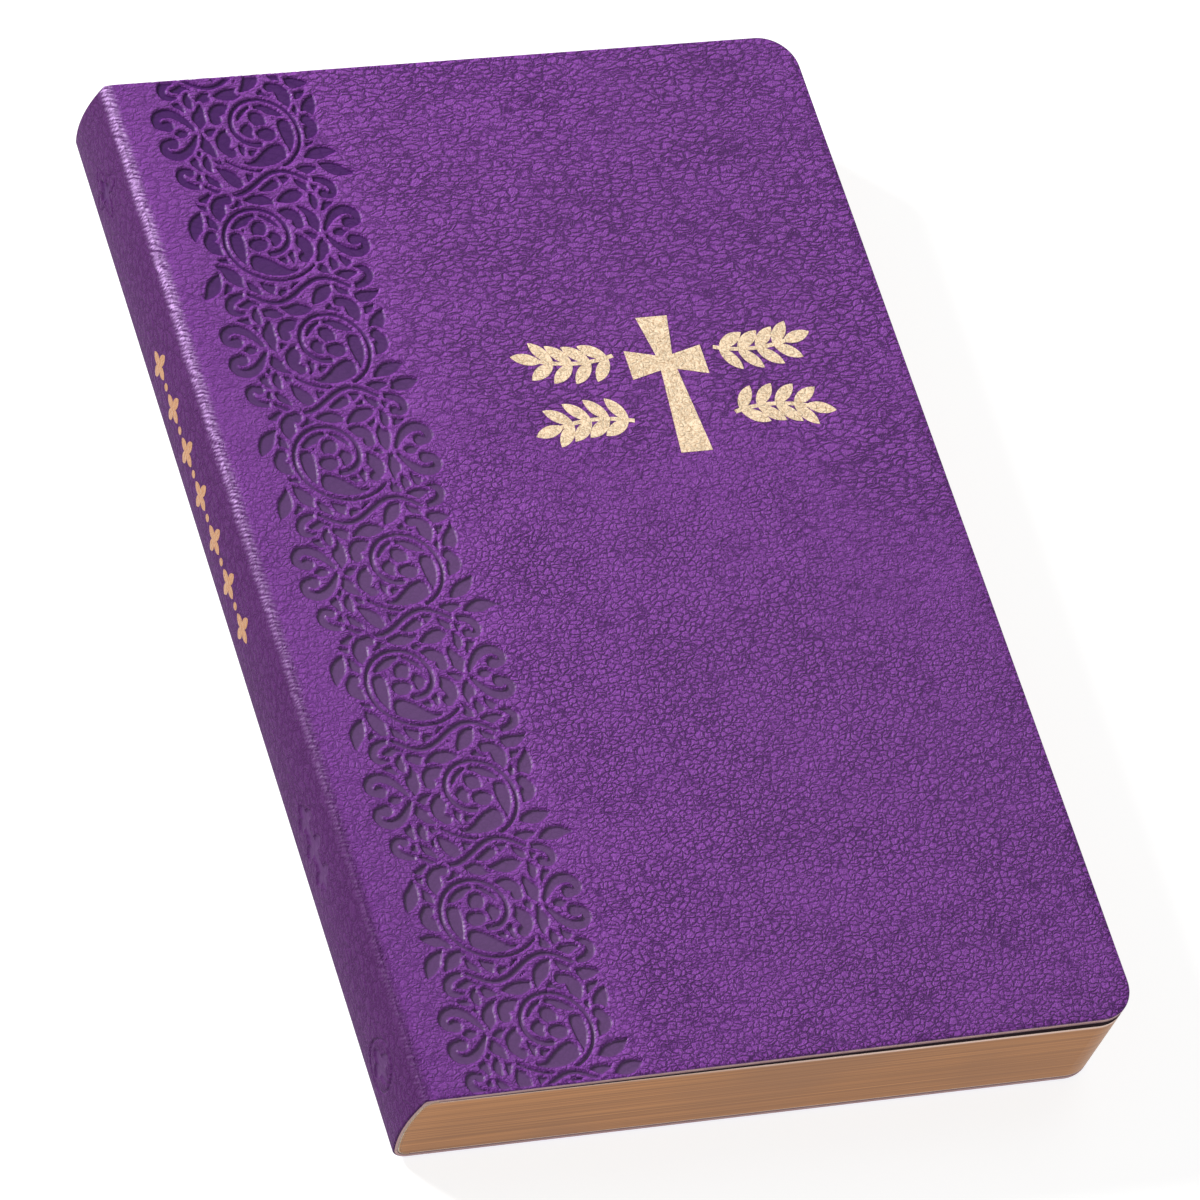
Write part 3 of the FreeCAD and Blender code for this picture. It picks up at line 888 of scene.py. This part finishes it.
def by_foil(x, y):
    return ((x >= near_foil.low[0]) & (x <= emblem_high.x / MM + foil_rim)
            & (y >= near_foil.low[1]) & (y <= emblem_high.y / MM + foil_rim))


coarse = coarse[~by_foil(*coarse.T) | (near_foil.read(*coarse.T) > 1.0)]


foil_depth = 0.09               # mm, how far the leather gives under the hot foil


def dress_front(x, y):
    away = np.where(np.abs(x - band_middle) < band_reach, band.read(x - band_middle, y + tail_y), 3.0)
    share = np.clip(-away / wall, 0, 1) * np.clip(inside_edge(x, y) / 0.8, 0, 1)
    share *= np.clip((x - left_x) / 0.6, 0, 1)
    gap = np.where(by_foil(x, y), near_foil.read(x, y), 9.0)
    dip = 0.5 + 0.5 * np.cos(np.pi * np.clip((gap - 0.15) / 0.4, 0, 1))
    ring = dip * (gap > 0.02)
    return -depth * share - foil_depth * dip, np.maximum(share, 0.6 * ring), np.zeros(len(x))


front_panel = board("front_leather", dress_front, np.vstack([coarse, fine, stamped]), True)
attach(front_panel, "front_cover")
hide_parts("front_cover")


def dress_back(x, y):
    return (np.zeros(len(x)),) * 3


back_fill = spread((left_x + 1.5, fore_edge - 0.9), (-tail_y + 1.3, tail_y - 0.9), 3.0)
back_panel = board("back_leather", dress_back, back_fill[inside_edge(*back_fill.T) > 1.0], False)
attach(back_panel, "back_cover")
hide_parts("back_cover")

# The leather of the spine: a puckered ridge where the front board folds, and three ornaments
# pressed in blind.
shoulder_turn = math.atan2(middle_z - shoulder_radius, fold.x - spine_back - round_radius) - math.pi / 2
ridge_back = shoulder_radius / MM * shoulder_turn / 2
dice = np.random.default_rng(11)
jitter_y = np.linspace(-tail_y, tail_y, 121)
jitter = dice.uniform(-1.0, 1.0, (4, 121))


def four_leaved(u, v, length, width):
    """Distance outside a four-leaved flower."""
    a, b = np.maximum(np.abs(u), np.abs(v)), np.minimum(np.abs(u), np.abs(v))
    bow = (length ** 2 + width ** 2) / (4 * width)
    half = np.sqrt(np.maximum(bow ** 2 - (a - length / 2) ** 2, 0)) - (bow - width / 2)
    return np.where(a > length, np.hypot(a - length, b), b - half)


pucker = 0.07                   # mm, how high the ridge's ribs stand
blind_depth = 0.34              # mm, how deep the ornaments are pressed


def dress_spine(y, around):
    from_ridge = around - fold_round + ridge_back
    wobble = [np.interp(y, jitter_y, row) for row in jitter]
    body = np.exp(-((from_ridge - 0.12 * wobble[0]) / 0.75) ** 2)
    ribs = 0.6 * np.sin(TURN * (y + 0.5 * from_ridge) / 0.93 + 5.0 * wobble[1])
    ribs = ribs + 0.5 * np.sin(TURN * (y - 0.4 * from_ridge) / 0.64 + 6.0 * wobble[2])
    fade = np.exp(-((from_ridge - 0.12 * wobble[2]) / 1.2) ** 2)
    swing = np.clip((fold_round - around) / (shoulder_radius / MM), 0, shoulder_turn)
    corner = 1 / np.cos(np.minimum(swing, shoulder_turn - swing)) - 1
    height = corner * (shoulder_radius / MM - 1.0) + pucker * (body * wobble[3] + ribs * fade)
    away = np.minimum.reduce([
        np.abs(four_leaved(y - 88.5, around, 5.2, 2.8)),
        four_leaved(y - 88.5, around, 2.4, 1.4),
        four_leaved(y + 43.6, around - 0.6, 2.9, 1.9),
        four_leaved(y + 49.1, around - 0.6, 3.3, 2.1),
        four_leaved(y + 54.6, around - 0.6, 2.9, 1.9),
        four_leaved(y + 92.3, around, 3.3, 2.1),
        np.abs(np.hypot(y + 92.3, around) - 4.6) - 0.1])
    share = 0.5 + 0.5 * np.cos(np.pi * np.clip((away + 0.15) / 0.5, 0, 1))
    # The third mark is pale wear and painted highlight on the ridge's rib crests, stronger towards the
    # head.
    upper = np.clip(0.45 + (y + 20.0) / 160.0, 0.2, 0.95)
    return height - blind_depth * share, share, np.clip(fade * (0.62 + 0.6 * ribs) * upper, 0, 1)


# How far the front fold lies from the middle of the spine, along the leather.
skin_step = 0.3 * MM
skin_line = bent_sheet(0.0, sheet_thickness, lap, skin_step, 40 * MM)[0][2][:, [0, 2]]
to_middle = int(np.argmin(np.abs(skin_line[:, 1] - middle_z)))
fold_round = np.hypot(*np.diff(skin_line, axis=0).T)[:to_middle].sum() / MM - lap / MM
spine_skin = bent_sheet(0.0, sheet_thickness, lap, skin_step, skin_step, dress_spine)
strips_on_sections("spine_leather", spine_skin, [grain_leather, cut_edge], ["spine_cover"])

# ---------------------------------------------------------------------------------------------
# Gold foil.  Pale gold leaf stamped hot into the leather: the emblem on the front, and down the
# spine a row of four-leaved flowers with a bead between each two.

foil, _, foil_shader, foil_mm = finish("pale_gold_foil", 0.3, 0.6)
foil_grain = cells(wander(foil_mm, 1.2, 0.6), 1.2).ramp(0.0, 0.35)
foil_dust = noise(foil_mm, 3.0, 3.0)
foil_tone = foil_dust.stops((0.34, (0.74, 0.50, 0.30)), (0.54, (0.98, 0.78, 0.55)))
foil_height = foil_grain * 0.7 + foil_dust * 0.3
# The foil on the spine is made darker and browner than on the front: painted shade.
spine_foil_shade = foil_mm.axis(0).ramp(-60.0, -50.0, 1.0, 0.0)
foil_tone = foil_tone.tint(coloured(foil_tone, (0.36, 0.150, 0.045)), spine_foil_shade * 0.92)
feed(foil_shader, Base_Color=foil_tone, Roughness=foil_dust.ramp(0.3, 0.7, 0.42, 0.26),
     Normal=relief(foil_height, 0.10, 1.0))
dress_node("front_emblem_foil", foil)

petal_length, petal_width, bead_radius = 3.1, 1.9, 0.75
flower_count, flower_pitch = 7, 9.2
row_low, row_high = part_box("spine_ornament_foil")
row_y = (row_low.y + row_high.y) / 2

# One flower as a flat outline, x along the row and y across it.
bow = (petal_length ** 2 + petal_width ** 2) / (4 * petal_width)
petal_side = [(s, math.sqrt(bow ** 2 - (s - petal_length / 2) ** 2) - (bow - petal_width / 2))
              for s in np.linspace(0.762, petal_length, 12)]
petal = [(s, -h) for s, h in petal_side[1:]] + [(s, h) for s, h in petal_side[-2::-1]]
outline = []
for quarter in range(4):
    c, s = (1, 0, -1, 0)[quarter], (0, 1, 0, -1)[quarter]
    outline += [(x * c - y * s, x * s + y * c) for x, y in petal]
flower = bpy.data.meshes.new("flower")
flower.from_pydata([(x * MM, y * MM, 0) for x, y in outline], [], [tuple(range(len(outline)))])
flower_row = placed("flower_row", flower)

row_tree = bpy.data.node_groups.new("row_of_flowers", "GeometryNodeTree")
sockets = row_tree.interface
sockets.new_socket("Flower", in_out="INPUT", socket_type="NodeSocketGeometry")
row_inputs = {"Flowers": flower_count, "Pitch": flower_pitch * MM, "Bead Radius": bead_radius * MM}
for title, value in row_inputs.items():
    kind = "NodeSocketInt" if isinstance(value, int) else "NodeSocketFloat"
    sockets.new_socket(title, in_out="INPUT", socket_type=kind)
sockets.new_socket("Row", in_out="OUTPUT", socket_type="NodeSocketGeometry")
asked = row_tree.nodes.new("NodeGroupInput")


def geo(kind, settings=None, **links):
    """One geometry node; a link is a socket or a plain value."""
    made = row_tree.nodes.new(kind)
    for title, value in (settings or {}).items():
        setattr(made, title, value)
    for title, value in links.items():
        socket = made.inputs[title.replace("_", " ")]
        if isinstance(value, bpy.types.NodeSocket):
            row_tree.links.new(value, socket)
        else:
            socket.default_value = value
    return made


def sums(operation, a, b):
    made = row_tree.nodes.new("ShaderNodeMath")
    made.operation = operation
    for socket, value in zip(made.inputs, (a, b)):
        if isinstance(value, bpy.types.NodeSocket):
            row_tree.links.new(value, socket)
        else:
            socket.default_value = value
    return made.outputs[0]


def line_of(count, what):
    """Copies of a shape on a line along X, centred on the origin."""
    pitch = asked.outputs["Pitch"]
    length = sums("MULTIPLY", sums("SUBTRACT", count, 1.0), pitch)
    start = geo("ShaderNodeCombineXYZ", X=sums("MULTIPLY", length, -0.5)).outputs[0]
    step = geo("ShaderNodeCombineXYZ", X=pitch).outputs[0]
    line = geo("GeometryNodeMeshLine", Count=count, Start_Location=start, Offset=step)
    return geo("GeometryNodeInstanceOnPoints", Points=line.outputs[0], Instance=what).outputs[0]


bead = geo("GeometryNodeMeshCircle", {"fill_type": "NGON"}, Vertices=20,
           Radius=asked.outputs["Bead Radius"])
joined = row_tree.nodes.new("GeometryNodeJoinGeometry")
row_tree.links.new(line_of(asked.outputs["Flowers"], asked.outputs["Flower"]), joined.inputs[0])
row_tree.links.new(line_of(sums("SUBTRACT", asked.outputs["Flowers"], 1.0), bead.outputs[0]),
                   joined.inputs[0])
real = geo("GeometryNodeRealizeInstances", Geometry=joined.outputs[0])
gilded = geo("GeometryNodeSetMaterial", Geometry=real.outputs[0], Material=foil)
given = row_tree.nodes.new("NodeGroupOutput")
row_tree.links.new(gilded.outputs[0], given.inputs["Row"])

row_modifier = flower_row.modifiers.new("row", "NODES")
row_modifier.node_group = row_tree
for item in row_tree.interface.items_tree:
    if item.in_out == "INPUT" and item.name in row_inputs:
        row_modifier[item.identifier] = row_inputs[item.name]
graph = bpy.context.evaluated_depsgraph_get()
row_mesh = bpy.data.meshes.new_from_object(flower_row.evaluated_get(graph))
bpy.data.objects.remove(flower_row)

# The row is laid round the spine and cut at the middle of each section.
foil_proud, foil_sunk = 0.03 * MM, 0.04 * MM
round_x = spine_back + round_radius
flat_row = bmesh.new()
flat_row.from_mesh(row_mesh)
bmesh.ops.triangulate(flat_row, faces=flat_row.faces)
for z in section_middles:
    whole = [*flat_row.verts, *flat_row.edges, *flat_row.faces]
    bmesh.ops.bisect_plane(flat_row, geom=whole, dist=1e-7, plane_co=(0, z - middle_z, 0),
                           plane_no=(0, 1, 0))
for k in range(1, SECTIONS):
    top, low = section_middles[k - 1] - middle_z, section_middles[k] - middle_z
    mine = [f for f in flat_row.faces if low < f.calc_center_median().y < top]
    if not mine:
        continue
    strip = bmesh.new()
    made = {}
    for f in mine:
        for v in f.verts:
            if v not in made:
                made[v] = strip.verts.new(v.co)
        strip.faces.new([made[v] for v in f.verts])
    grown = bmesh.ops.extrude_face_region(strip, geom=list(strip.faces))
    lifted = {v for v in grown["geom"] if isinstance(v, bmesh.types.BMVert)}
    for v in strip.verts:
        across = v.co.y
        out = foil_proud if v in lifted else -foil_sunk
        bend = math.asin(across / round_radius)
        v.co = Vector((round_x - (round_radius + out) * math.cos(bend), row_y + v.co.x,
                       middle_z + (round_radius + out) * math.sin(bend)))
    bmesh.ops.recalc_face_normals(strip, faces=strip.faces)
    mesh = bpy.data.meshes.new("spine_flowers_{:02d}".format(k))
    strip.to_mesh(mesh)
    strip.free()
    mesh.materials.append(foil)
    piece = placed(mesh.name, mesh)
    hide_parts("spine_ornament_foil")
    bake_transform(piece)
flat_row.free()

# ---------------------------------------------------------------------------------------------
# Table, light and view.  A white table with a large soft light from the head of the spine.

table = bpy.data.meshes.new("table")
table.from_pydata([(-3, -3, -0.0002), (3, -3, -0.0002), (3, 3, -0.0002), (-3, 3, -0.0002)], [],
                  [(0, 1, 2, 3)])
table_top = placed("table", table)
white, _, white_shader, _ = finish("white_table", 0.9, Emission_Strength=0.80)
white_shader.inputs["Base Color"].default_value = (0.42, 0.42, 0.42, 1.0)
white_shader.inputs["Emission Color"].default_value = (1.0, 1.0, 1.0, 1.0)
table.materials.append(white)

aim = Vector((-0.2, -4.95, 10.0)) * MM


def soft_light(name, place, size, power):
    lamp = bpy.data.lights.new(name, "AREA")
    lamp.shape = "DISK"
    lamp.size = size
    lamp.energy = power
    holder = placed(name, lamp)
    holder.location = place
    holder.rotation_euler = (aim - Vector(place)).to_track_quat("-Z", "Y").to_euler()


soft_light("key_light", (-1.00, 0.85, 0.72), 0.36, 34.0)
soft_light("fill_light", (0.9, -0.9, 1.2), 1.2, 2.0)
soft_light("sheen_light", (0.62, 0.70, 1.21), 0.9, 2.4)
room = bpy.data.worlds.new("room")
room.use_nodes = True
room.node_tree.nodes["Background"].inputs[0].default_value = (1.0, 1.0, 1.0, 1.0)
room.node_tree.nodes["Background"].inputs[1].default_value = 0.28
bpy.context.scene.world = room
bpy.context.scene.view_settings.view_transform = "Standard"

lens = bpy.data.cameras.new("view")
lens.lens = 281.91
lens.sensor_width = 36.0
lens.clip_end = 10.0
eye = placed("view", lens)
distance = 1.6666
turned, raised, rolled = (math.radians(angle) for angle in (41.41, 52.19, 29.57))
ahead = Vector((math.sin(turned) * math.cos(raised), math.cos(turned) * math.cos(raised),
                -math.sin(raised)))
level = Vector((math.cos(turned), -math.sin(turned), 0))
above = level.cross(ahead)
right = level * math.cos(rolled) + above * math.sin(rolled)
up = above * math.cos(rolled) - level * math.sin(rolled)
spot = aim - ahead * distance
eye.matrix_world = Matrix((
    (right.x, up.x, -ahead.x, spot.x), (right.y, up.y, -ahead.y, spot.y),
    (right.z, up.z, -ahead.z, spot.z), (0, 0, 0, 1)))
bpy.context.scene.camera = eye
